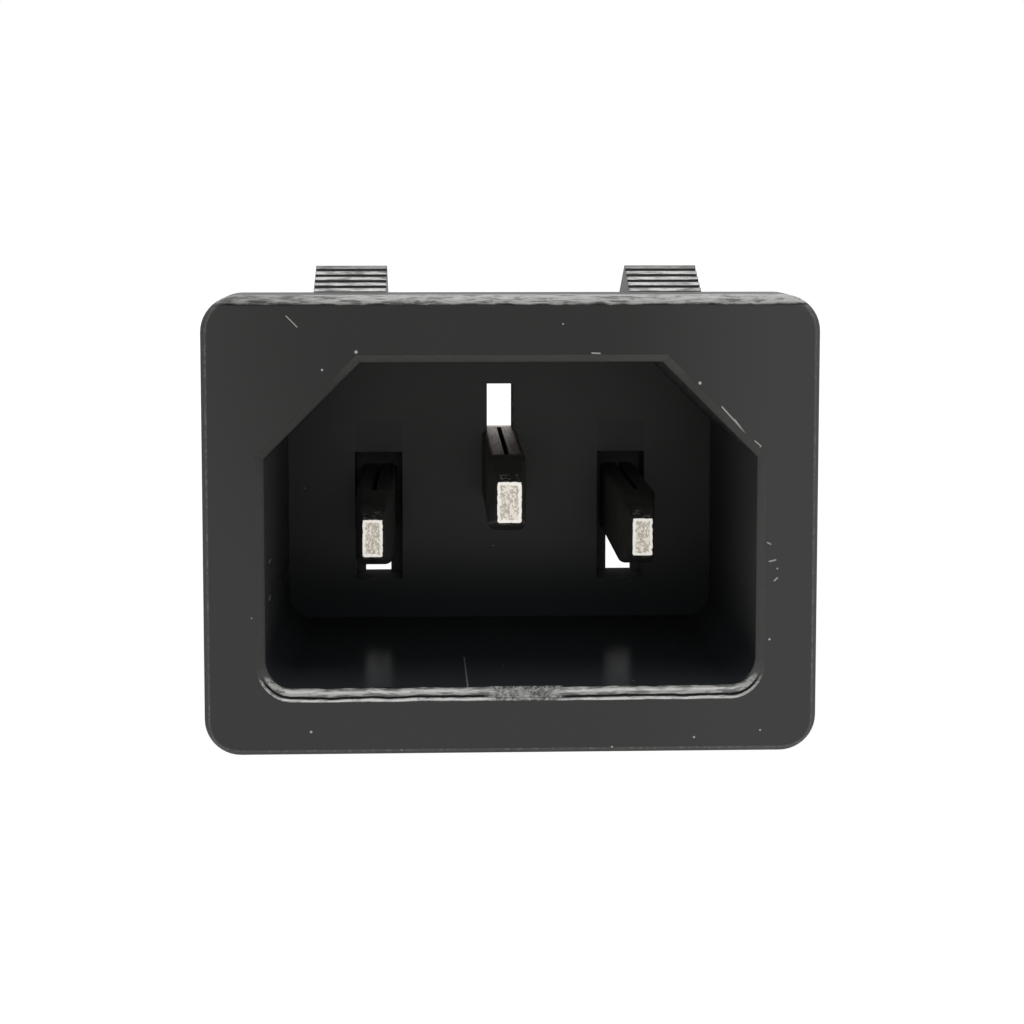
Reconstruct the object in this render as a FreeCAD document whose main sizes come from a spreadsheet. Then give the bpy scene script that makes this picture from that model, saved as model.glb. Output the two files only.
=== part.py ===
"""C14 snap-in panel inlet: a moulded housing and three folded sheet-metal contacts.

Frame, in millimetres: the origin is the centre of the panel cut-out on the panel's front face, which
the back of the flange lies on. +X is right as seen from the front, +Y goes into the panel, +Z is up.
"""

import FreeCAD, Part
import Sketcher
import math
import os

# Every driving dimension, written once. Heights are measured from the inlet's centre plane.
DIMENSIONS = {
    "flange_width": 30.4,
    "flange_height": 22.8,
    "flange_thickness": 3.6,
    "flange_corner_radius": 1.8,
    "flange_edge_radius": 0.45,
    "cavity_width": 24.4,
    "cavity_height": 16.2,
    "cavity_depth": 17.0,
    "cavity_corner_cut": 4.75,
    "cavity_corner_radius": 1.4,
    "mouth_bevel": 0.4,
    "sill_bevel": 0.6,
    "shell_width": 27.0,
    "shell_height": 19.8,
    "shell_corner_cut": 3.0,
    "shell_corner_radius": 1.2,
    "shell_lead_in": 0.6,
    "floor_thickness": 3.0,
    "rear_rim_height": 1.0,
    "rear_rim_wall": 1.4,
    "pocket_width": 2.7,
    "pocket_top": 1.55,
    "pocket_bottom": 5.85,
    "pocket_depth": 2.3,
    "slot_width": 1.5,
    "slot_offset": 0.1,
    "earth_slot_top": 5.5,
    "wing_spacing": 16.2,
    "wing_width": 3.7,
    "wing_height": 2.7,
    "wing_gap": 0.4,
    "wing_length": 13.0,
    "wing_root_length": 2.4,
    "wing_tip_thickness": 0.9,
    "rib_count": 7,
    "rib_rise": 0.27,
    "rib_run": 0.55,
    "rib_nose": 0.15,
    "ramp_length": 3.2,
    "arm_rise": 0.9,
    "well_clearance": 0.35,
    "well_depth": 0.9,
    "pin_pitch": 14.0,
    "pin_width": 4.0,
    "pin_thickness": 2.0,
    "pin_fold_radius": 0.45,
    "pin_seam_radius": 0.3,
    "pin_tip_length": 3.5,
    "seam_width": 0.25,
    "seam_depth": 2.8,
    "seam_stop": 1.0,
    "line_drop": 1.4,
    "line_tip_depth": 5.0,
    "line_tip_width": 1.95,
    "line_tip_thickness": 1.05,
    "earth_rise": 0.75,
    "earth_tip_depth": 3.0,
    "earth_tip_width": 2.1,
    "earth_tip_thickness": 1.25,
    "earth_shoulder_drop": 1.15,
    "shoulder_length": 1.5,
    "shoulder_overhang": 0.4,
    "shoulder_edge_radius": 0.3,
    "tab_width": 4.8,
    "tab_thickness": 0.8,
    "tab_length": 7.5,
    "tab_point_length": 1.2,
    "tab_point_width": 3.0,
    "tab_hole_radius": 0.7,
    "tab_hole_setback": 3.0,
}

DIAGONAL = 2**0.5  # how far a 45 degree line shifts along an axis for each unit square to itself
EPSILON = 0.001  # how near an edge must lie to a plane to count as lying on it


class Size:
    """A length from the sheet, with the formula that keeps it tied to the sheet's cells."""

    def __init__(self, formula, value):
        self.formula = formula
        self.value = value

    @staticmethod
    def of(other):
        return other if isinstance(other, Size) else Size(repr(float(other)), float(other))

    def __add__(self, other):
        other = Size.of(other)
        return Size(f"({self.formula} + {other.formula})", self.value + other.value)

    def __sub__(self, other):
        other = Size.of(other)
        return Size(f"({self.formula} - {other.formula})", self.value - other.value)

    def __mul__(self, other):
        other = Size.of(other)
        return Size(f"({self.formula} * {other.formula})", self.value * other.value)

    def __truediv__(self, other):
        other = Size.of(other)
        return Size(f"({self.formula} / {other.formula})", self.value / other.value)

    def __neg__(self):
        return Size(f"(0 - {self.formula})", -self.value)


doc = FreeCAD.newDocument("inlet")


def fill_sheet():
    """Put the driving dimensions in the spreadsheet and hand them back by name."""
    sheet = doc.addObject("Spreadsheet::Sheet", "Sizes")
    for row, (name, value) in enumerate(DIMENSIONS.items(), start=1):
        sheet.set(f"A{row}", name)
        sheet.set(f"B{row}", str(value))
        sheet.setAlias(f"B{row}", name)
    doc.recompute()
    return {name: Size(f"Sizes.{name}", float(sheet.get(name))) for name in DIMENSIONS}


S = fill_sheet()

# Depths and heights that several pieces share.
front = -S["flange_thickness"]
floor_front = front + S["cavity_depth"]
floor_back = floor_front + S["floor_thickness"]
shell_back = floor_back + S["rear_rim_height"]
shell_top = S["shell_height"] / 2
shoulder_height = S["tab_width"] + S["shoulder_overhang"] * 2


def bind(item, prop, size):
    """Tie a property to the sheet."""
    item.setExpression(prop, Size.of(size).formula)


def new_body(label):
    body = doc.addObject("PartDesign::Body", label)
    body.Label = label
    return body


def new_sketch(body, name, role, height):
    """A sketch on one of the body's origin planes, lifted along the plane's normal."""
    sketch = body.newObject("Sketcher::SketchObject", name)
    plane = [item for item in body.Origin.OriginFeatures if item.Role == role][0]
    sketch.AttachmentSupport = [(plane, "")]
    sketch.MapMode = "FlatFace"
    bind(sketch, "AttachmentOffset.Base.z", height)
    return sketch


def cross_section(body, name, depth):
    """A sketch across the inlet at Y = depth, with the inlet's own X and Z as its axes."""
    return new_sketch(body, name, "XZ_Plane", -Size.of(depth))


def side_section(body, name, across):
    """A sketch along the inlet at X = across, with the inlet's own Y and Z as its axes."""
    return new_sketch(body, name, "YZ_Plane", across)


def hold_point(sketch, geometry, end, across, up):
    """Fix one point of the sketch from its origin."""
    for kind, size in (("DistanceX", across), ("DistanceY", up)):
        number = sketch.addConstraint(Sketcher.Constraint(kind, -1, 1, geometry, end, size.value))
        bind(sketch, f"Constraints[{number}]", size)


def round_corner(before, corner, after, radius):
    """The arc that rounds a corner, with its start and stop."""
    back = (before - corner).normalize()
    ahead = (after - corner).normalize()
    half = back.getAngle(ahead) / 2
    reach = radius / math.tan(half)
    to_centre = (back + ahead).normalize()
    middle = corner + to_centre * (radius / math.sin(half) - radius)
    start = corner + back * reach
    stop = corner + ahead * reach
    return Part.Arc(start, middle, stop), start, stop


def draw_outline(sketch, corners):
    """A closed outline through (across, up) corners. A third entry is a corner's radius."""
    corners = [tuple(Size.of(entry) for entry in corner) for corner in corners]
    points = [FreeCAD.Vector(corner[0].value, corner[1].value, 0) for corner in corners]
    count = len(corners)
    arcs, starts, stops = {}, list(points), list(points)
    for i, corner in enumerate(corners):
        if len(corner) > 2:
            after = points[(i + 1) % count]
            arcs[i], starts[i], stops[i] = round_corner(points[i - 1], points[i], after, corner[2].value)
    lines = [
        sketch.addGeometry(Part.LineSegment(stops[i], starts[(i + 1) % count]))
        for i in range(count)
    ]
    for i, corner in enumerate(corners):
        before, after = lines[i - 1], lines[i]
        if i not in arcs:
            sketch.addConstraint(Sketcher.Constraint("Coincident", before, 2, after, 1))
            hold_point(sketch, after, 1, corner[0], corner[1])
            continue
        arc = sketch.addGeometry(arcs[i])
        apex = sketch.addGeometry(Part.Point(points[i]), True)
        forward = sketch.getPoint(arc, 1).distanceToPoint(starts[i]) < EPSILON
        first, last = (1, 2) if forward else (2, 1)
        sketch.addConstraint(Sketcher.Constraint("Tangent", before, 2, arc, first))
        sketch.addConstraint(Sketcher.Constraint("Tangent", arc, last, after, 1))
        sketch.addConstraint(Sketcher.Constraint("PointOnObject", apex, 1, before))
        sketch.addConstraint(Sketcher.Constraint("PointOnObject", apex, 1, after))
        hold_point(sketch, apex, 1, corner[0], corner[1])
        number = sketch.addConstraint(Sketcher.Constraint("Radius", arc, corner[2].value))
        bind(sketch, f"Constraints[{number}]", corner[2])


def box_corners(left, right, low, high, low_radius=None, high_radius=None):
    """Corners of an upright rectangle, counter-clockwise from the lower left."""
    lower = () if low_radius is None else (low_radius,)
    upper = () if high_radius is None else (high_radius,)
    return [(left, low) + lower, (right, low) + lower, (right, high) + upper, (left, high) + upper]


def draw_circle(sketch, across, up, radius):
    centre = FreeCAD.Vector(across.value, up.value, 0)
    circle = sketch.addGeometry(Part.Circle(centre, FreeCAD.Vector(0, 0, 1), radius.value))
    hold_point(sketch, circle, 3, across, up)
    number = sketch.addConstraint(Sketcher.Constraint("Radius", circle, radius.value))
    bind(sketch, f"Constraints[{number}]", radius)


def volume(body):
    doc.recompute()
    return body.Shape.Volume


def extrude(body, kind, name, sketch, length, inward):
    """A Pad or Pocket of a cross section. inward runs it towards +Y, into the panel."""
    before = volume(body) if body.Tip else 0
    feature = body.newObject(f"PartDesign::{kind}", name)
    feature.Profile = sketch
    feature.Reversed = inward == (kind == "Pad")
    bind(feature, "Length", length)
    grew = volume(body) - before
    if (kind == "Pad") != (grew > 0):
        raise ValueError(f"{name} changed the volume by {grew}")
    return feature


def slab(body, name, sketch, thickness):
    """A Pad of a side section, half of it on each side of the sketch."""
    feature = body.newObject("PartDesign::Pad", name)
    feature.Profile = sketch
    feature.SideType = "Symmetric"
    bind(feature, "Length", thickness)
    doc.recompute()
    return feature


def loft(body, kind, name, first, second):
    feature = body.newObject(f"PartDesign::{kind}", name)
    feature.Profile = first
    feature.Sections = [second]
    feature.Ruled = True
    doc.recompute()
    return feature


def dress_edges(body, kind, name, size, wanted):
    """A Fillet or Chamfer on the edges of the body for which wanted(edge) is true."""
    doc.recompute()
    base = body.Tip
    edges = [f"Edge{i}" for i, edge in enumerate(base.Shape.Edges, start=1) if wanted(edge)]
    feature = body.newObject(f"PartDesign::{kind}", name)
    feature.Base = (base, edges)
    bind(feature, "Radius" if kind == "Fillet" else "Size", size)
    doc.recompute()
    return feature


def lies_at(edge, depth):
    """Whether the whole edge lies in the plane Y = depth."""
    box = edge.BoundBox
    return abs(box.YMin - depth.value) < EPSILON and abs(box.YMax - depth.value) < EPSILON


def inlet_corners(side, top, bottom, cut, radius):
    """The inlet's outline: two upper corners cut at 45 degrees and two lower ones rounded."""
    return [
        (-side, bottom, radius),
        (side, bottom, radius),
        (side, top - cut),
        (side - cut, top),
        (-side + cut, top),
        (-side, top - cut),
    ]


# ---------------------------------------------------------------- housing


def add_flange(body):
    outline = cross_section(body, "flange_outline", front)
    side, top = S["flange_width"] / 2, S["flange_height"] / 2
    radius = S["flange_corner_radius"]
    draw_outline(outline, box_corners(-side, side, -top, top, radius, radius))
    extrude(body, "Pad", "flange", outline, S["flange_thickness"], inward=True)
    dress_edges(body, "Fillet", "flange_edge", S["flange_edge_radius"], lambda e: lies_at(e, front))


def add_shell(body):
    """The sleeve that passes through the panel, with a lead-in round its back edge."""
    outline = cross_section(body, "shell_outline", Size.of(0))
    side = S["shell_width"] / 2
    cut, radius = S["shell_corner_cut"], S["shell_corner_radius"]
    draw_outline(outline, inlet_corners(side, shell_top, -shell_top, cut, radius))
    extrude(body, "Pad", "shell", outline, shell_back, inward=True)
    dress_edges(body, "Chamfer", "lead_in", S["shell_lead_in"], lambda e: lies_at(e, shell_back))


def hollow_rear(body):
    """The recess behind the floor, inside the shell's back rim."""
    outline = cross_section(body, "rear_outline", shell_back)
    side = S["shell_width"] / 2 - S["rear_rim_wall"]
    top = shell_top - S["rear_rim_wall"]
    cut = S["shell_corner_cut"] - S["rear_rim_wall"] * (2 - DIAGONAL)
    radius = S["shell_corner_radius"] / 2
    draw_outline(outline, inlet_corners(side, top, -top, cut, radius))
    extrude(body, "Pocket", "rear_recess", outline, S["rear_rim_height"], inward=False)


def cut_cavity(body):
    """The connector's recess and the bevel round its mouth, which is wider on the lower sill."""
    side, top = S["cavity_width"] / 2, S["cavity_height"] / 2
    cut, radius = S["cavity_corner_cut"], S["cavity_corner_radius"]
    bevel, sill = S["mouth_bevel"], S["sill_bevel"]
    outline = cross_section(body, "cavity_outline", front)
    draw_outline(outline, inlet_corners(side, top, -top, cut, radius))
    extrude(body, "Pocket", "cavity", outline, S["cavity_depth"], inward=True)
    mouth = cross_section(body, "mouth_outline", front)
    wider_cut = cut + bevel * (2 - DIAGONAL)
    draw_outline(mouth, inlet_corners(side + bevel, top + bevel, -top - sill, wider_cut, radius + bevel))
    throat = cross_section(body, "throat_outline", front + sill)
    draw_outline(throat, inlet_corners(side, top, -top, cut, radius))
    loft(body, "SubtractiveLoft", "mouth", mouth, throat)


def cut_contact_seat(body, name, across, height, slot_middle, slot_end):
    """The hole that a contact's pin fills, and the open slot that runs on from it to slot_end."""
    half_thick = S["pin_thickness"] / 2
    half_wide = S["pin_width"] / 2
    hole = cross_section(body, f"{name}_hole_outline", floor_front)
    draw_outline(
        hole,
        box_corners(
            across - half_thick,
            across + half_thick,
            height - half_wide,
            height + half_wide,
            S["pin_fold_radius"],
            S["pin_seam_radius"],
        ),
    )
    extrude(body, "Pocket", f"{name}_hole", hole, S["floor_thickness"], inward=True)
    slot = cross_section(body, f"{name}_slot_outline", floor_front)
    half_slot = S["slot_width"] / 2
    low, high = sorted((height, slot_end), key=lambda size: size.value)
    draw_outline(slot, box_corners(slot_middle - half_slot, slot_middle + half_slot, low, high))
    extrude(body, "Pocket", f"{name}_slot", slot, S["floor_thickness"], inward=True)


def cut_pocket(body, name, across):
    """The shallow pocket in the floor round the line or the neutral pin."""
    outline = cross_section(body, f"{name}_pocket_outline", floor_front)
    half = S["pocket_width"] / 2
    draw_outline(outline, box_corners(across - half, across + half, -S["pocket_bottom"], S["pocket_top"]))
    extrude(body, "Pocket", f"{name}_pocket", outline, S["pocket_depth"], inward=True)


def wing_profile():
    """Side view of a snap wing: stepped face, ramp, springy arm, and its root on the shell."""
    apex = shell_top + S["wing_height"]
    root_end = S["wing_gap"] + S["wing_length"]
    rise, run, nose = S["rib_rise"], S["rib_run"], S["rib_nose"]
    face_back = S["wing_gap"] + run * S["rib_count"]
    points = [(root_end, shell_top - S["well_depth"])]
    points.append((root_end, shell_top))
    points.append((face_back + S["ramp_length"], shell_top + S["arm_rise"]))
    points.append((face_back, apex))
    for i in range(int(S["rib_count"].value)):
        # each step is a flat tread, a bevelled nose and a riser square to the panel
        tread, edge = apex - rise * i, face_back - run * (i + 1)
        points.append((edge + nose, tread))
        points.append((edge, tread - nose))
        points.append((edge, tread - rise))
    points.append((S["wing_gap"], apex - rise * S["rib_count"] - S["wing_tip_thickness"]))
    points.append((root_end - S["wing_root_length"], shell_top + S["well_clearance"] - S["well_depth"]))
    points.append((root_end - S["wing_root_length"], shell_top - S["well_depth"]))
    return points


def add_wings(body):
    """One snap wing over its well, mirrored to the other side and to the underside."""
    centre = S["wing_spacing"] / 2
    half = S["wing_width"] / 2 + S["well_clearance"]
    well_outline = cross_section(body, "well_outline", Size.of(0))
    floor = shell_top - S["well_depth"]
    draw_outline(well_outline, box_corners(centre - half, centre + half, floor, shell_top + S["well_depth"]))
    well_length = S["wing_gap"] + S["wing_length"] - S["wing_root_length"]
    well = extrude(body, "Pocket", "wing_well", well_outline, well_length, inward=True)
    profile = side_section(body, "wing_profile", centre)
    draw_outline(profile, wing_profile())
    wing = slab(body, "wing", profile, S["wing_width"])
    planes = {item.Role: item for item in body.Origin.OriginFeatures}
    pattern = body.newObject("PartDesign::MultiTransform", "wings")
    pattern.Originals = [well, wing]
    mirrors = []
    for name, role in (("left_right", "YZ_Plane"), ("top_bottom", "XY_Plane")):
        mirror = doc.addObject("PartDesign::Mirrored", name)
        body.addObject(mirror)
        mirror.MirrorPlane = (planes[role], [""])
        mirrors.append(mirror)
    pattern.Transformations = mirrors
    body.Tip = pattern
    doc.recompute()


def build_housing():
    body = new_body("housing")
    add_flange(body)
    add_shell(body)
    hollow_rear(body)
    cut_cavity(body)
    pin_x = S["pin_pitch"] / 2
    outward = S["slot_offset"]
    for name, across, offset in (("line", -pin_x, -outward), ("neutral", pin_x, outward)):
        cut_contact_seat(body, name, across, -S["line_drop"], across + offset, -S["pocket_bottom"])
        cut_pocket(body, name, across)
    middle = Size.of(0)
    cut_contact_seat(body, "earth", middle, S["earth_rise"], middle, S["earth_slot_top"])
    add_wings(body)
    return body


# ---------------------------------------------------------------- contacts


def pin_corners():
    """The folded pin's section: the fold below, the two sheet edges above."""
    side, top = S["pin_thickness"] / 2, S["pin_width"] / 2
    return box_corners(-side, side, -top, top, S["pin_fold_radius"], S["pin_seam_radius"])


def add_pin(body, tip_depth, tip_width, tip_thickness):
    """The pin from the back of the floor to its flat, tapered tip."""
    tip = front + tip_depth - floor_back
    straight_end = tip + S["pin_tip_length"]
    root = cross_section(body, "pin_section", Size.of(0))
    draw_outline(root, pin_corners())
    extrude(body, "Pad", "pin", root, -straight_end, inward=False)
    shoulder = cross_section(body, "taper_section", straight_end)
    draw_outline(shoulder, pin_corners())
    end = cross_section(body, "tip_section", tip)
    half_thick, half_wide = tip_thickness / 2, tip_width / 2
    shrink = tip_thickness / S["pin_thickness"] / 2
    fold, seam = S["pin_fold_radius"] * shrink, S["pin_seam_radius"] * shrink
    draw_outline(end, box_corners(-half_thick, half_thick, -half_wide, half_wide, fold, seam))
    loft(body, "AdditiveLoft", "tip", shoulder, end)
    seam_stop = -S["seam_stop"]
    seam_outline = cross_section(body, "seam_outline", seam_stop)
    half_seam, top = S["seam_width"] / 2, S["pin_width"] / 2
    draw_outline(seam_outline, box_corners(-half_seam, half_seam, top - S["seam_depth"], top))
    extrude(body, "Pocket", "seam", seam_outline, seam_stop - straight_end, inward=False)


def add_tab(body, middle):
    """The shoulder that stops against the floor, and the quick-connect tab behind it."""
    half = shoulder_height / 2
    side = S["pin_thickness"] / 2
    outline = cross_section(body, "shoulder_outline", Size.of(0))
    radius = S["shoulder_edge_radius"]
    draw_outline(outline, box_corners(-side, side, middle - half, middle + half, radius, radius))
    extrude(body, "Pad", "shoulder", outline, S["shoulder_length"], inward=True)
    end = S["shoulder_length"] + S["tab_length"]
    neck = end - S["tab_point_length"]
    half_tab, half_point = S["tab_width"] / 2, S["tab_point_width"] / 2
    profile = side_section(body, "tab_profile", Size.of(0))
    draw_outline(
        profile,
        [
            (0, middle - half_tab),
            (neck, middle - half_tab),
            (end, middle - half_point),
            (end, middle + half_point),
            (neck, middle + half_tab),
            (0, middle + half_tab),
        ],
    )
    draw_circle(profile, end - S["tab_hole_setback"], middle, S["tab_hole_radius"])
    slab(body, "tab", profile, S["tab_thickness"])


def build_contact(label, across, height, middle, tip_depth, tip_width, tip_thickness):
    """A contact in its own frame: the pin's axis on Y, the back of the housing's floor at Y = 0."""
    body = new_body(label)
    add_pin(body, tip_depth, tip_width, tip_thickness)
    add_tab(body, middle)
    bind(body, "Placement.Base.x", across)
    bind(body, "Placement.Base.y", floor_back)
    bind(body, "Placement.Base.z", height)
    return body


def build_contacts():
    pin_x = S["pin_pitch"] / 2
    level_with_pin = (shoulder_height - S["pin_width"]) / 2
    below_pin_top = S["pin_width"] / 2 - S["earth_shoulder_drop"] - shoulder_height / 2
    line_tip = (S["line_tip_depth"], S["line_tip_width"], S["line_tip_thickness"])
    earth_tip = (S["earth_tip_depth"], S["earth_tip_width"], S["earth_tip_thickness"])
    return [
        build_contact("line_contact", -pin_x, -S["line_drop"], level_with_pin, *line_tip),
        build_contact("neutral_contact", pin_x, -S["line_drop"], level_with_pin, *line_tip),
        build_contact("earth_contact", Size.of(0), S["earth_rise"], below_pin_top, *earth_tip),
    ]


def check_and_export(bodies):
    """Refuse a failed feature or a broken solid, then write one file for each body."""
    doc.recompute()
    for item in doc.Objects:
        if "Invalid" in item.State or "Error" in item.State:
            raise ValueError(f"{item.Label} failed: {item.State}")
    for body in bodies:
        if body.Shape.isNull() or not body.Shape.isValid() or len(body.Shape.Solids) != 1:
            raise ValueError(f"{body.Label} is not one sound solid")
    os.makedirs("parts", exist_ok=True)
    for body in bodies:
        body.Shape.exportStep(os.path.join("parts", f"{body.Label}.step"))
        box = body.Shape.BoundBox
        corners = [round(v, 2) for v in (box.XMin, box.XMax, box.YMin, box.YMax, box.ZMin, box.ZMax)]
        print(body.Label, corners, round(body.Shape.Volume, 2))


check_and_export([build_housing()] + build_contacts())
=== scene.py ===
"""Looks of the C14 panel inlet: its finishes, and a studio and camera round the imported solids.

Lengths are millimetres in the inlet's own frame: +X right, +Y into the panel, +Z up, with the
origin at the centre of the panel cut-out. MM turns them into metres where Blender takes them.
"""

import bpy
import math
from mathutils import Euler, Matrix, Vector


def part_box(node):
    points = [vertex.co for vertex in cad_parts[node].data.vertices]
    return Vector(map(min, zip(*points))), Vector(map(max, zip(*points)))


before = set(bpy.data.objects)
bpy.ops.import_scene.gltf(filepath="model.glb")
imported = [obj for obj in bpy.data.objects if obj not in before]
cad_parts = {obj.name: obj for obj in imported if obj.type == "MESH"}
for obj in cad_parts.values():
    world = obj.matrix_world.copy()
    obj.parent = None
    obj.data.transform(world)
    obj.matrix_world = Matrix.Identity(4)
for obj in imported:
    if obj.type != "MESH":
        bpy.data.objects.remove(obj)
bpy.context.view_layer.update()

MM = 0.001


def box_mm(node):
    return [Vector(corner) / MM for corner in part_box(node)]


# Places on the inlet that its wear, its painted light and shade, and its inner surfaces are found by.
FRONT = box_mm("housing")[0].y
FLANGE_TOP = 11.4
MOUTH_SIDE = 12.2
MOUTH_TOP = 8.1
MOUTH_CUT = 15.55  # |X| + Z along the two cut corners
BEVEL_DEPTH = 0.6
FLOOR_FRONT = 13.4
FLOOR_BACK = 16.4
RIBS_START = 0.3
RIBS_STOP = 4.3
WING_TOP = 12.6
PIN_SIDE = 7.0
POCKET_TOP = 1.55
PIN_HEIGHT = {"line_contact": -1.4, "neutral_contact": -1.4, "earth_contact": 0.75}

# How much light the plastic mirrors: its worn outside, and the dull walls of the recess.
SHELL_SPECULAR = 0.38
WALL_SPECULAR = 0.003

# ---------------------------------------------------------------- shader maths


class Value:
    """A number, colour or vector that varies over a surface. Python's operators add Math nodes."""

    def __init__(self, tree, socket):
        self.tree = tree
        self.socket = socket

    def math(self, operation, *inputs):
        return self.tree.node("ShaderNodeMath", {"operation": operation}, dict(enumerate(inputs)))

    def __add__(self, other):
        return self.math("ADD", self, other)

    def __radd__(self, other):
        return self.math("ADD", other, self)

    def __sub__(self, other):
        return self.math("SUBTRACT", self, other)

    def __rsub__(self, other):
        return self.math("SUBTRACT", other, self)

    def __mul__(self, other):
        return self.math("MULTIPLY", self, other)

    def __rmul__(self, other):
        return self.math("MULTIPLY", other, self)

    def __truediv__(self, other):
        return self.math("DIVIDE", self, other)

    def __abs__(self):
        return self.math("ABSOLUTE", self)

    def least(self, other):
        return self.math("MINIMUM", self, other)

    def most(self, other):
        return self.math("MAXIMUM", self, other)

    def ramp(self, start, stop):
        """0 before start and 1 after stop, smooth between. Start may be the higher one."""
        inputs = {"Value": self, "From Min": start, "From Max": stop}
        return self.tree.node("ShaderNodeMapRange", {"interpolation_type": "SMOOTHSTEP"}, inputs)

    def band(self, low, high, soft):
        """1 between low and high, fading over soft outside them."""
        return self.ramp(low - soft, low) * self.ramp(high + soft, high)

    def beside(self, name):
        """Another output of the node that this value comes from."""
        return Value(self.tree, self.socket.node.outputs[name])


class Tree:
    """A node tree under construction."""

    def __init__(self, tree):
        self.tree = tree
        tree.nodes.clear()

    def node(self, kind, settings=None, inputs=None, output=0):
        """Adds a node: its settings first, then its sockets' values or links."""
        node = self.tree.nodes.new(kind)
        for name, setting in (settings or {}).items():
            setattr(node, name, setting)
        for name, value in (inputs or {}).items():
            if isinstance(value, Value):
                self.tree.links.new(value.socket, node.inputs[name])
            else:
                node.inputs[name].default_value = value
        return Value(self, node.outputs[output]) if node.outputs else None

    def seen_directly(self):
        """1 for what the camera sees itself, in a reflection or through glass, 0 for plain light."""
        camera = self.node("ShaderNodeLightPath", output="Is Camera Ray")
        return camera.most(camera.beside("Is Glossy Ray")).most(camera.beside("Is Transmission Ray"))


class Finish(Tree):
    """A material whose places are in millimetres of the inlet's own frame."""

    def __init__(self, name):
        self.material = bpy.data.materials.new(name)
        self.material.use_nodes = True
        super().__init__(self.material.node_tree)
        metres = self.node("ShaderNodeTexCoord", output="Object")
        self.place = self.vector("SCALE", metres, Scale=1 / MM)
        self.x, self.y, self.z = (self.along(axis, self.place) for axis in "XYZ")
        facing = self.node("ShaderNodeNewGeometry", output="Normal")
        self.facing_up = self.along("Z", facing)
        self.facing_side = abs(self.along("X", facing))

    def along(self, axis, vector):
        return self.node("ShaderNodeSeparateXYZ", None, {0: vector}, axis)

    def vector(self, operation, first, second=None, output=0, **scale):
        inputs = {0: first, **({} if second is None else {1: second}), **scale}
        return self.node("ShaderNodeVectorMath", {"operation": operation}, inputs, output)

    def noise(self, size, detail=2.0, roughness=0.5, stretch=(1, 1, 1)):
        """Noise from 0 to 1 whose features are about size across, times stretch along each axis."""
        place = self.vector("MULTIPLY", self.place, [1 / s for s in stretch])
        inputs = {"Vector": place, "Scale": 1 / size, "Detail": detail, "Roughness": roughness}
        return self.node("ShaderNodeTexNoise", None, inputs)

    def specks(self, spacing, radius):
        """Round specks at random places about spacing apart, the largest of that radius."""
        distance = self.node("ShaderNodeTexVoronoi", None, {"Vector": self.place, "Scale": 1 / spacing})
        size = self.along("X", distance.beside("Color"))
        return (size * radius / spacing - distance).ramp(0.0, radius / spacing / 4)

    def spot(self, centre, radius):
        """A round spot on whatever surface passes through centre."""
        return self.vector("DISTANCE", self.place, centre, "Value").ramp(radius, radius / 2)

    def scratch(self, start, stop, width):
        """A straight scratch from start to stop."""
        along = Vector(stop) - Vector(start)
        out = self.vector("SUBTRACT", self.place, start)
        share = self.vector("DOT_PRODUCT", out, along / along.length_squared, "Value")
        nearest = self.vector("SCALE", tuple(along), Scale=share.most(0.0).least(1.0))
        return self.vector("DISTANCE", out, nearest, "Value").ramp(width / 2, width / 5)

    def colour(self, factor, first, second):
        """A mix of two colours, from first at factor 0 to second at 1."""
        inputs = {"Factor": factor, 6: first, 7: second}
        return self.node("ShaderNodeMix", {"data_type": "RGBA"}, inputs, 2)

    def relief(self, height, edge_radius):
        """The normal of a surface with that height in millimetres and softened edges."""
        rounded = self.node("ShaderNodeBevel", {"samples": 4}, {"Radius": edge_radius * MM})
        return self.node("ShaderNodeBump", None, {"Height": height, "Distance": MM, "Normal": rounded})

    def principled(self, **sockets):
        inputs = {name.replace("_", " "): value for name, value in sockets.items()}
        return self.node("ShaderNodeBsdfPrincipled", None, inputs)

    def finish(self, surface):
        self.node("ShaderNodeOutputMaterial", None, {"Surface": surface})
        return self.material


def rgb(red, green, blue):
    return (red, green, blue, 1.0)


# ---------------------------------------------------------------- finishes

# Marks on the housing's front face, as (X, Z).
FACE_SPECKS = (
    (-7.6, 8.65, 0.10), (-9.26, 7.78, 0.07), (-9.93, -10.17, 0.08), (4.98, -11.07, 0.07),
    (9.07, -10.61, 0.07), (12.37, -10.28, 0.06), (9.22, 7.08, 0.10), (2.49, 10.0, 0.05),
    (-5.47, -11.15, 0.07), (13.14, -2.15, 0.05), (12.79, -5.7, 0.07), (-12.8, -4.45, 0.04),
)
FACE_SCRATCHES = (
    ((-10.98, 10.41), (-10.46, 9.88), 0.07),
    ((3.91, 8.57), (4.3, 8.55), 0.10),
    ((10.32, 5.9), (11.0, 5.15), 0.10),
    ((10.95, 5.25), (11.47, 4.56), 0.13),
    ((11.96, 4.21), (12.26, 3.96), 0.08),
    ((12.26, 3.96), (12.1, 3.75), 0.07),
    ((12.63, -0.84), (12.8, -0.93), 0.08),
    ((12.75, -1.79), (13.05, -1.72), 0.1),
    ((13.0, -2.76), (13.15, -2.62), 0.1),
)

# Nicks along the recess's left wall, as (Y of the middle, Z, width).
WALL_NICKS = ((0.2, -2.33, 0.14), (-0.1, -4.16, 0.18))


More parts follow.
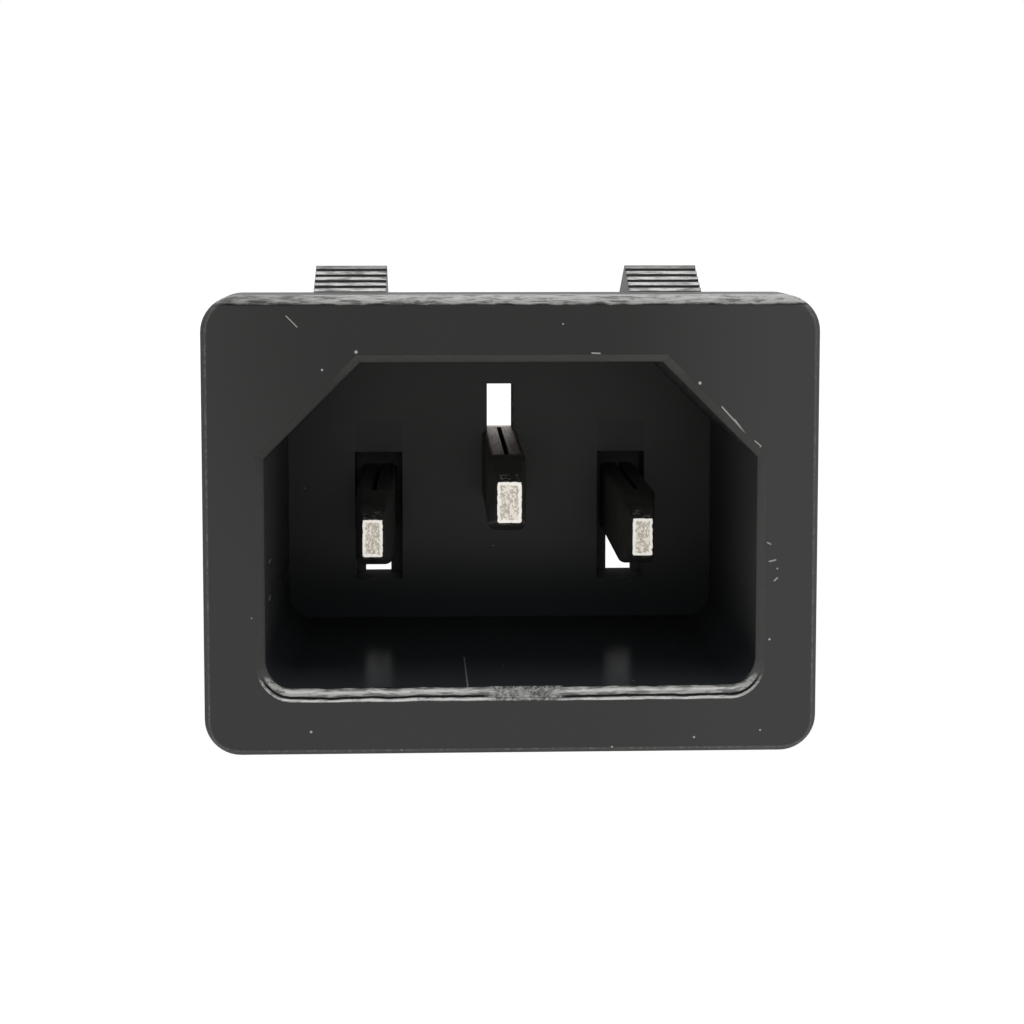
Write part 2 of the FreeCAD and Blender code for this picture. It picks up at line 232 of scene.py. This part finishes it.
class MouldedPlastic(Finish):
    """Satin black plastic, scuffed on its upper edge and on the sill, with dust and a few scratches,
    painted highlights on its edges and painted shade in its recess.
    """

    def __init__(self):
        super().__init__("satin black plastic")
        x, y, z = self.x, self.y, self.z
        self.cloud = self.noise(5.0, 3.0)
        self.lengthwise = self.noise(0.16, 3.0, 0.65, (7, 1, 1))
        self.crumbs = self.noise(0.26, 3.0, 0.7)
        beside_sides = abs(x).ramp(MOUTH_SIDE + 0.7, MOUTH_SIDE + 0.6)
        below_top = abs(z).ramp(MOUTH_TOP + 0.8, MOUTH_TOP + 0.7)
        below_cuts = (abs(x) + z).ramp(MOUTH_CUT + 1.35, MOUTH_CUT + 1.15)
        self.in_opening = beside_sides * below_top * below_cuts
        self.inside = self.in_opening * y.band(FRONT + BEVEL_DEPTH + 0.04, FLOOR_BACK - 0.1, 0.06)
        self.bevel = self.in_opening * y.band(FRONT + 0.012, FRONT + BEVEL_DEPTH, 0.01)
        self.across_bevel = (y - FRONT) / BEVEL_DEPTH
        self.seats = y.ramp(FLOOR_FRONT + 0.02, FLOOR_FRONT + 0.06)
        self.floor = y.ramp(FLOOR_FRONT - 0.1, FLOOR_FRONT - 0.05) * (1 - self.seats)

    def upper_edge(self):
        """Scuffs along the flange's upper edge, and the dark line under them."""
        ragged = self.z + 0.3 * self.noise(1.1, 3.0)
        edge = self.y.ramp(FRONT + 1.1, FRONT + 0.35) * self.z.ramp(FLANGE_TOP - 0.6, FLANGE_TOP - 0.4)
        scuffs = edge * ragged.ramp(FLANGE_TOP - 0.3, FLANGE_TOP - 0.2)
        scuffs = scuffs * (0.15 + 1.2 * self.lengthwise.ramp(0.35, 0.65)) * (0.5 + self.x.ramp(-13.0, -3.0))
        return scuffs, edge * ragged.band(FLANGE_TOP - 0.36, FLANGE_TOP - 0.32, 0.03)

    def rib_noses(self):
        """The bevelled nose of each rib on the snap wings: scuffing, and painted highlight on the faces
        that tilt up towards the overhead light.
        """
        ribs = self.y.band(RIBS_START, RIBS_STOP, 0.1) * abs(self.z).ramp(10.3, 10.4)
        # Painted highlight with scuffing on the rib faces that tilt up towards the overhead light.
        nose_wear_and_highlight = ribs * self.facing_up.band(0.5, 0.85, 0.15)
        nose_wear_and_highlight = nose_wear_and_highlight * (0.2 + 0.8 * self.lengthwise.ramp(0.35, 0.6))
        return nose_wear_and_highlight * (0.4 + 0.6 * abs(self.z).ramp(WING_TOP - 0.05, WING_TOP - 0.4))

    def rim(self):
        """The flange's rounded rim: a painted highlight line where it starts, and painted shade where it
        turns away.
        """
        outward = self.facing_side.most(0 - self.facing_up)
        rim = self.y.band(FRONT, FRONT + 0.5, 0.1) * (1 - self.in_opening)
        # Painted highlight: a pale line where the rim starts to turn.
        painted_highlight_line = rim * outward.band(0.35, 0.5, 0.1) * (0.1 + 0.16 * self.crumbs.ramp(0.5, 0.65))
        # Painted shade: dark where the rim turns away.
        return painted_highlight_line, 0.7 * rim * outward.ramp(0.7, 0.9)

    def sill(self):
        """The sill's scuffing, painted light and relief: two beads painted pale, partly as scuffing and
        partly as painted highlight, crushed near the middle, with painted shade in the groove lines beside
        them.
        """
        sill = self.bevel * self.z.ramp(-7.3, -8.0)
        wander = self.across_bevel + 0.24 * (self.noise(1.6, 3.0) - 0.5)
        from_inner = (wander - 0.67) / 0.31
        from_outer = (wander - 0.12) / 0.14
        beads = (1 - from_inner * from_inner).most(1.4 - 1.4 * from_outer * from_outer).most(0.0).least(1.0)
        crushed = sill * self.x.band(-0.7, 2.0, 0.8)
        crumbly = self.crumbs.ramp(0.38, 0.62)
        # Painted highlight on the beads, partly scuffing: pale along each bead, in streaks.
        bead_wear_and_highlight = beads * (0.4 + 1.8 * self.lengthwise.ramp(0.4, 0.62))
        wear_and_highlight = sill * (bead_wear_and_highlight + crushed * (0.08 + 0.7 * crumbly - bead_wear_and_highlight))
        # Painted shade: dark groove lines between the beads and beside them, broken up in the crushed part.
        painted_groove_shade = sill * (beads + crushed * (0.45 + 0.55 * crumbly - beads)).ramp(0.4, 0.0)
        return sill, wear_and_highlight, painted_groove_shade, 0.05 * sill * beads + 0.09 * crushed * self.crumbs

    def painted_bevel_sheen(self):
        """Painted sheen on the bevel round the mouth: a little paler than the face, brightest across the
        bevel's middle, paler to the right and most of all along its top.
        """
        painted_mid_highlight = 0.78 + 0.52 * self.across_bevel * (1 - self.across_bevel)
        pale = 0.135 + 0.035 * self.x.ramp(-2.0, 8.0) + 0.065 * self.z.ramp(7.0, 8.0)
        return self.bevel * painted_mid_highlight * pale * (0.6 + 0.8 * self.crumbs)

    def painted_face_light(self):
        """Painted light on the flange's front: darkest round the top middle, paler away from it and most of
        all to the right.
        """
        painted_light_spread = self.vector("DISTANCE", self.place, (-2.0, FRONT, 9.0), "Value").ramp(6.0, 17.0)
        return self.y.ramp(0.0, -0.05) * (0.7 * painted_light_spread + 0.35 * self.x.ramp(4.0, 13.0))

    def marks(self):
        """Dust specks all over, and the marks that have a place of their own."""
        marks = self.specks(2.2, 0.06) * 0.5
        for across, up, radius in FACE_SPECKS:
            marks = marks.most(self.spot((across, FRONT, up), radius))
        for (left, low), (right, high), width in FACE_SCRATCHES:
            marks = marks.most(self.scratch((left, FRONT, low), (right, FRONT, high), width) * 0.8)
        for deep, up, width in WALL_NICKS:
            ends = ((-MOUTH_SIDE, deep - 0.5, up), (-MOUTH_SIDE, deep + 0.5, up))
            marks = marks.most(self.scratch(*ends, width))
        behind_sill = self.scratch((-2.25, 3.2, -MOUTH_TOP), (-2.17, FRONT + 0.3, -MOUTH_TOP), 0.1)
        return marks.most(behind_sill * 0.35)

    def recess_tone_and_shade(self):
        """Painted shade on the recess: greyer high up than low down, and darker far to the side and above
        the pockets.
        """
        # Painted shade above the pockets and far to the sides, and darker low down.
        painted_shade_above_pockets = abs(abs(self.x) - PIN_SIDE).ramp(1.5, 1.2)
        painted_shade_above_pockets = painted_shade_above_pockets * self.z.ramp(POCKET_TOP + 2.05, POCKET_TOP + 1.55)
        shaded = 0.45 * abs(self.x - 2).ramp(9.5, 12.5).most(painted_shade_above_pockets)
        painted_light_level = self.z.ramp(-6.5, 1.0) * (1 - shaded)
        return self.colour(painted_light_level, rgb(0.002, 0.003, 0.004), rgb(0.022, 0.0213, 0.0195))

    def build(self):
        """Mixes the scuffed outside, with its painted highlights and sheen, with the matt walls of the
        recess and their painted shade.
        """
        scuffs, under_edge = self.upper_edge()
        nose_wear_and_highlight = self.rib_noses()
        painted_rim_highlight, painted_rim_shade = self.rim()
        sill, sill_wear_and_highlight, painted_groove_shade, sill_relief = self.sill()
        # Scuffs together with painted light: the painted highlights of the rim, sill beads and rib tips,
        # and the painted sheen on the mouth's bevel.
        wear_and_painted_light = scuffs.most(sill_wear_and_highlight).most(self.painted_bevel_sheen()).most(nose_wear_and_highlight).most(painted_rim_highlight)
        marks = self.marks()

        black, dark_grey = rgb(0.0072, 0.0068, 0.0063), rgb(0.0092, 0.0088, 0.0083)
        tint = self.colour(self.cloud.ramp(0.35, 0.65), black, dark_grey)
        # Painted light: the flange's front is made paler away from its top middle.
        tint = self.colour(self.painted_face_light(), tint, rgb(0.036, 0.037, 0.0355))
        # Scuffs and painted highlights share one pale colour.
        tint = self.colour(wear_and_painted_light, tint, rgb(0.43, 0.435, 0.42))
        tint = self.colour(marks, tint, rgb(0.55, 0.55, 0.52))
        recess = self.colour(marks, self.recess_tone_and_shade(), rgb(0.4, 0.4, 0.39))
        grain = self.noise(0.09, 3.0, 0.6)
        normal = self.relief(0.004 * grain + 0.02 * scuffs + sill_relief, 0.07)
        shell = self.principled(
            Base_Color=self.colour(self.inside, tint, recess),
            Roughness=0.42 + 0.08 * self.cloud - 0.22 * nose_wear_and_highlight - 0.2 * sill,
            Specular_IOR_Level=SHELL_SPECULAR,
            Normal=normal,
        )

        # Painted shade: dark lines where the rim turns away and in the sill's groove lines, with the dark
        # line under the top edge's scuffs.
        dark_lines = painted_rim_shade.most(painted_groove_shade).most(under_edge)
        # Painted shade on the recess walls: darker low down and towards the front.
        low_wall_painted_shade = self.colour(self.y.ramp(-4.0, 11.0), rgb(0.021, 0.024, 0.027), rgb(0.042, 0.046, 0.05))
        wall_tone_and_shade = self.colour(self.z.ramp(-7.9, -3.0), low_wall_painted_shade, rgb(0.07, 0.072, 0.07))
        wall_tone_and_shade = self.colour(self.seats, wall_tone_and_shade, rgb(0.12, 0.12, 0.12))
        wall_tone_and_shade = self.colour(dark_lines, wall_tone_and_shade, rgb(0.012, 0.012, 0.012))
        walls = self.principled(
            Base_Color=self.colour(marks, wall_tone_and_shade, rgb(0.4, 0.4, 0.39)),
            Roughness=0.11 + 0.7 * self.seats + 0.5 * (abs(self.x) - self.z).ramp(16.0, 19.0),
            Specular_IOR_Level=WALL_SPECULAR,
            Normal=normal,
        )
        on_walls = (self.inside * (1 - self.floor * self.z.ramp(-7.5, -3.0))).most(dark_lines)
        return self.finish(self.node("ShaderNodeMixShader", None, {0: on_walls, 1: shell, 2: walls}))


def nickel_plate(node, tip_width, tip_thickness, bare_edges):
    """Satin nickel over brass: dark and hardly metallic inside the recess, sheared bright at the tip.

    bare_edges says how much brown sheet shows along the pin's upper side, from 0 to 1.
    """
    metal = Finish("nickel plate of " + node.replace("_", " "))
    low, high = box_mm(node)
    y = metal.y
    up = metal.z - PIN_HEIGHT[node]
    from_side = abs(metal.x - (low.x + high.x) / 2)
    past_edge = (from_side - tip_thickness / 2).most(abs(up) - tip_width / 2) + 0.3 * metal.noise(0.24, 3.0)
    flat = y.ramp(low.y + 0.05, low.y + 0.02) * past_edge.ramp(0.18, 0.14)
    rim = past_edge.ramp(-0.05, 0.04)
    pin = y.ramp(FLOOR_FRONT + 2.6, FLOOR_FRONT + 2.0)
    sheet_edges = bare_edges * pin * up.ramp(1.9, 1.97)
    cloud = metal.noise(1.4, 4.0, 0.6)
    drawn = metal.noise(0.1, 3.0, 0.6, (1, 14, 1))
    torn = metal.noise(0.24, 4.0, 0.65, (1, 1, 1.5))
    # Painted glints: small bright flecks near the tip, where the chamfers' edges catch the light.
    painted_glints = metal.noise(0.3, 2.0).ramp(0.53, 0.56) * y.band(low.y + 0.2, low.y + 0.9, 0.1)
    painted_glints = painted_glints * from_side.ramp(0.5, 0.4)

    tint = metal.colour(cloud, rgb(0.50, 0.475, 0.43), rgb(0.62, 0.60, 0.56))
    dark_in_recess = metal.colour(cloud.ramp(0.35, 0.65), rgb(0.045, 0.044, 0.042), rgb(0.072, 0.070, 0.066))
    tint = metal.colour(pin, tint, dark_in_recess)
    tint = metal.colour(sheet_edges * drawn.ramp(0.3, 0.6), tint, rgb(0.30, 0.225, 0.19))
    veins = (1 - rim) * torn.band(0.47, 0.51, 0.05)
    sheared = metal.colour(veins * 0.6, rgb(0.80, 0.75, 0.67), rgb(0.23, 0.185, 0.14))
    # Painted highlight: the sheared face is brighter along its edges.
    sheared = metal.colour(rim * 0.8, sheared, rgb(0.93, 0.91, 0.86))
    tint = metal.colour(flat, tint, sheared)
    # The painted glints are pale and not metallic.
    tint = metal.colour(painted_glints, tint, rgb(0.9, 0.87, 0.8))
    plain = metal.principled(
        Base_Color=tint,
        Metallic=1 - 0.8 * pin * (1 - flat) * (1 - painted_glints) * (1 - sheet_edges),
        Roughness=0.3 + 0.12 * cloud + 0.06 * drawn + 0.12 * flat + 0.12 * sheet_edges,
        Specular_IOR_Level=0.25,
        Normal=metal.relief(0.004 * drawn + flat * 0.05 * torn, 0.06),
    )
    return metal.finish(plain)


def dress(name, material):
    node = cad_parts[name]
    node.data.materials.clear()
    node.data.materials.append(material)


dress("housing", MouldedPlastic().build())
dress("line_contact", nickel_plate("line_contact", 1.95, 1.05, 0.15))
dress("neutral_contact", nickel_plate("neutral_contact", 1.95, 1.05, 0.15))
dress("earth_contact", nickel_plate("earth_contact", 2.1, 1.25, 1.0))

# ---------------------------------------------------------------- studio

FLOOR_DROP = 46.0  # how far below the inlet's centre the pale floor lies
FLOOR_SIZE = 6000.0
FILL_LIGHT = 0.45  # the plain light from all round, where 1 is white


def lay_floor():
    """A pale floor that fades to white away from the inlet and keeps its shadow."""
    half, height = FLOOR_SIZE / 2 * MM, -FLOOR_DROP * MM
    corners = [(i * half, j * half, height) for i, j in ((-1, -1), (1, -1), (1, 1), (-1, 1))]
    mesh = bpy.data.meshes.new("floor")
    mesh.from_pydata(corners, [], [(0, 1, 2, 3)])
    floor = bpy.data.objects.new("floor", mesh)
    bpy.context.scene.collection.objects.link(floor)
    paper = Finish("pale paper")
    far = paper.vector("LENGTH", paper.place, output="Value").ramp(50.0, 500.0)
    glow = paper.seen_directly() * (0.3 + 0.4 * far)
    mottle = paper.noise(30.0)
    tint = paper.colour(mottle, rgb(0.78, 0.78, 0.775), rgb(0.81, 0.81, 0.805))
    pale = paper.node("ShaderNodeBsdfDiffuse", None, {"Color": tint})
    white = paper.node("ShaderNodeEmission", None, {"Strength": glow})
    both = paper.node("ShaderNodeAddShader", None, {0: pale, 1: white})
    paper.node("ShaderNodeOutputMaterial", None, {"Surface": both})
    mesh.materials.append(paper.material)


def light_room():
    """Plain light from all round, with white behind whatever is looked at."""
    world = bpy.data.worlds.new("studio")
    bpy.context.scene.world = world
    world.use_nodes = True
    room = Tree(world.node_tree)
    strength = FILL_LIGHT + (1 - FILL_LIGHT) * room.seen_directly()
    sky = room.node("ShaderNodeBackground", None, {"Color": rgb(1, 1, 1), "Strength": strength})
    room.node("ShaderNodeOutputWorld", None, {"Surface": sky})


def soft_lamp(name, place, aim, size, radiance):
    """A square soft box of side size whose face has that radiance."""
    lamp = bpy.data.lights.new(name, "AREA")
    lamp.shape = "SQUARE"
    lamp.size = size * MM
    lamp.energy = radiance * math.pi * (size * MM) ** 2
    holder = bpy.data.objects.new(name, lamp)
    holder.location = Vector(place) * MM
    holder.rotation_euler = (Vector(aim) - Vector(place)).to_track_quat("-Z", "Y").to_euler()
    bpy.context.scene.collection.objects.link(holder)


def place_camera():
    camera = bpy.data.cameras.new("camera")
    camera.sensor_width = 36.0
    camera.lens = 68.4
    camera.shift_x = 0.0117
    camera.shift_y = -0.15
    camera.clip_start = 1 * MM
    viewer = bpy.data.objects.new("camera", camera)
    viewer.location = Vector((-3.91, -98.20, 15.92)) * MM
    viewer.rotation_euler = Euler((math.radians(90 - 4.59), 0, math.radians(-2.01)))
    bpy.context.scene.collection.objects.link(viewer)
    bpy.context.scene.camera = viewer


lay_floor()
light_room()
soft_lamp("overhead lamp", (20, -50, 420), (0, 5, 0), 200.0, 9.0)
place_camera()
bpy.context.scene.view_settings.view_transform = "Standard"
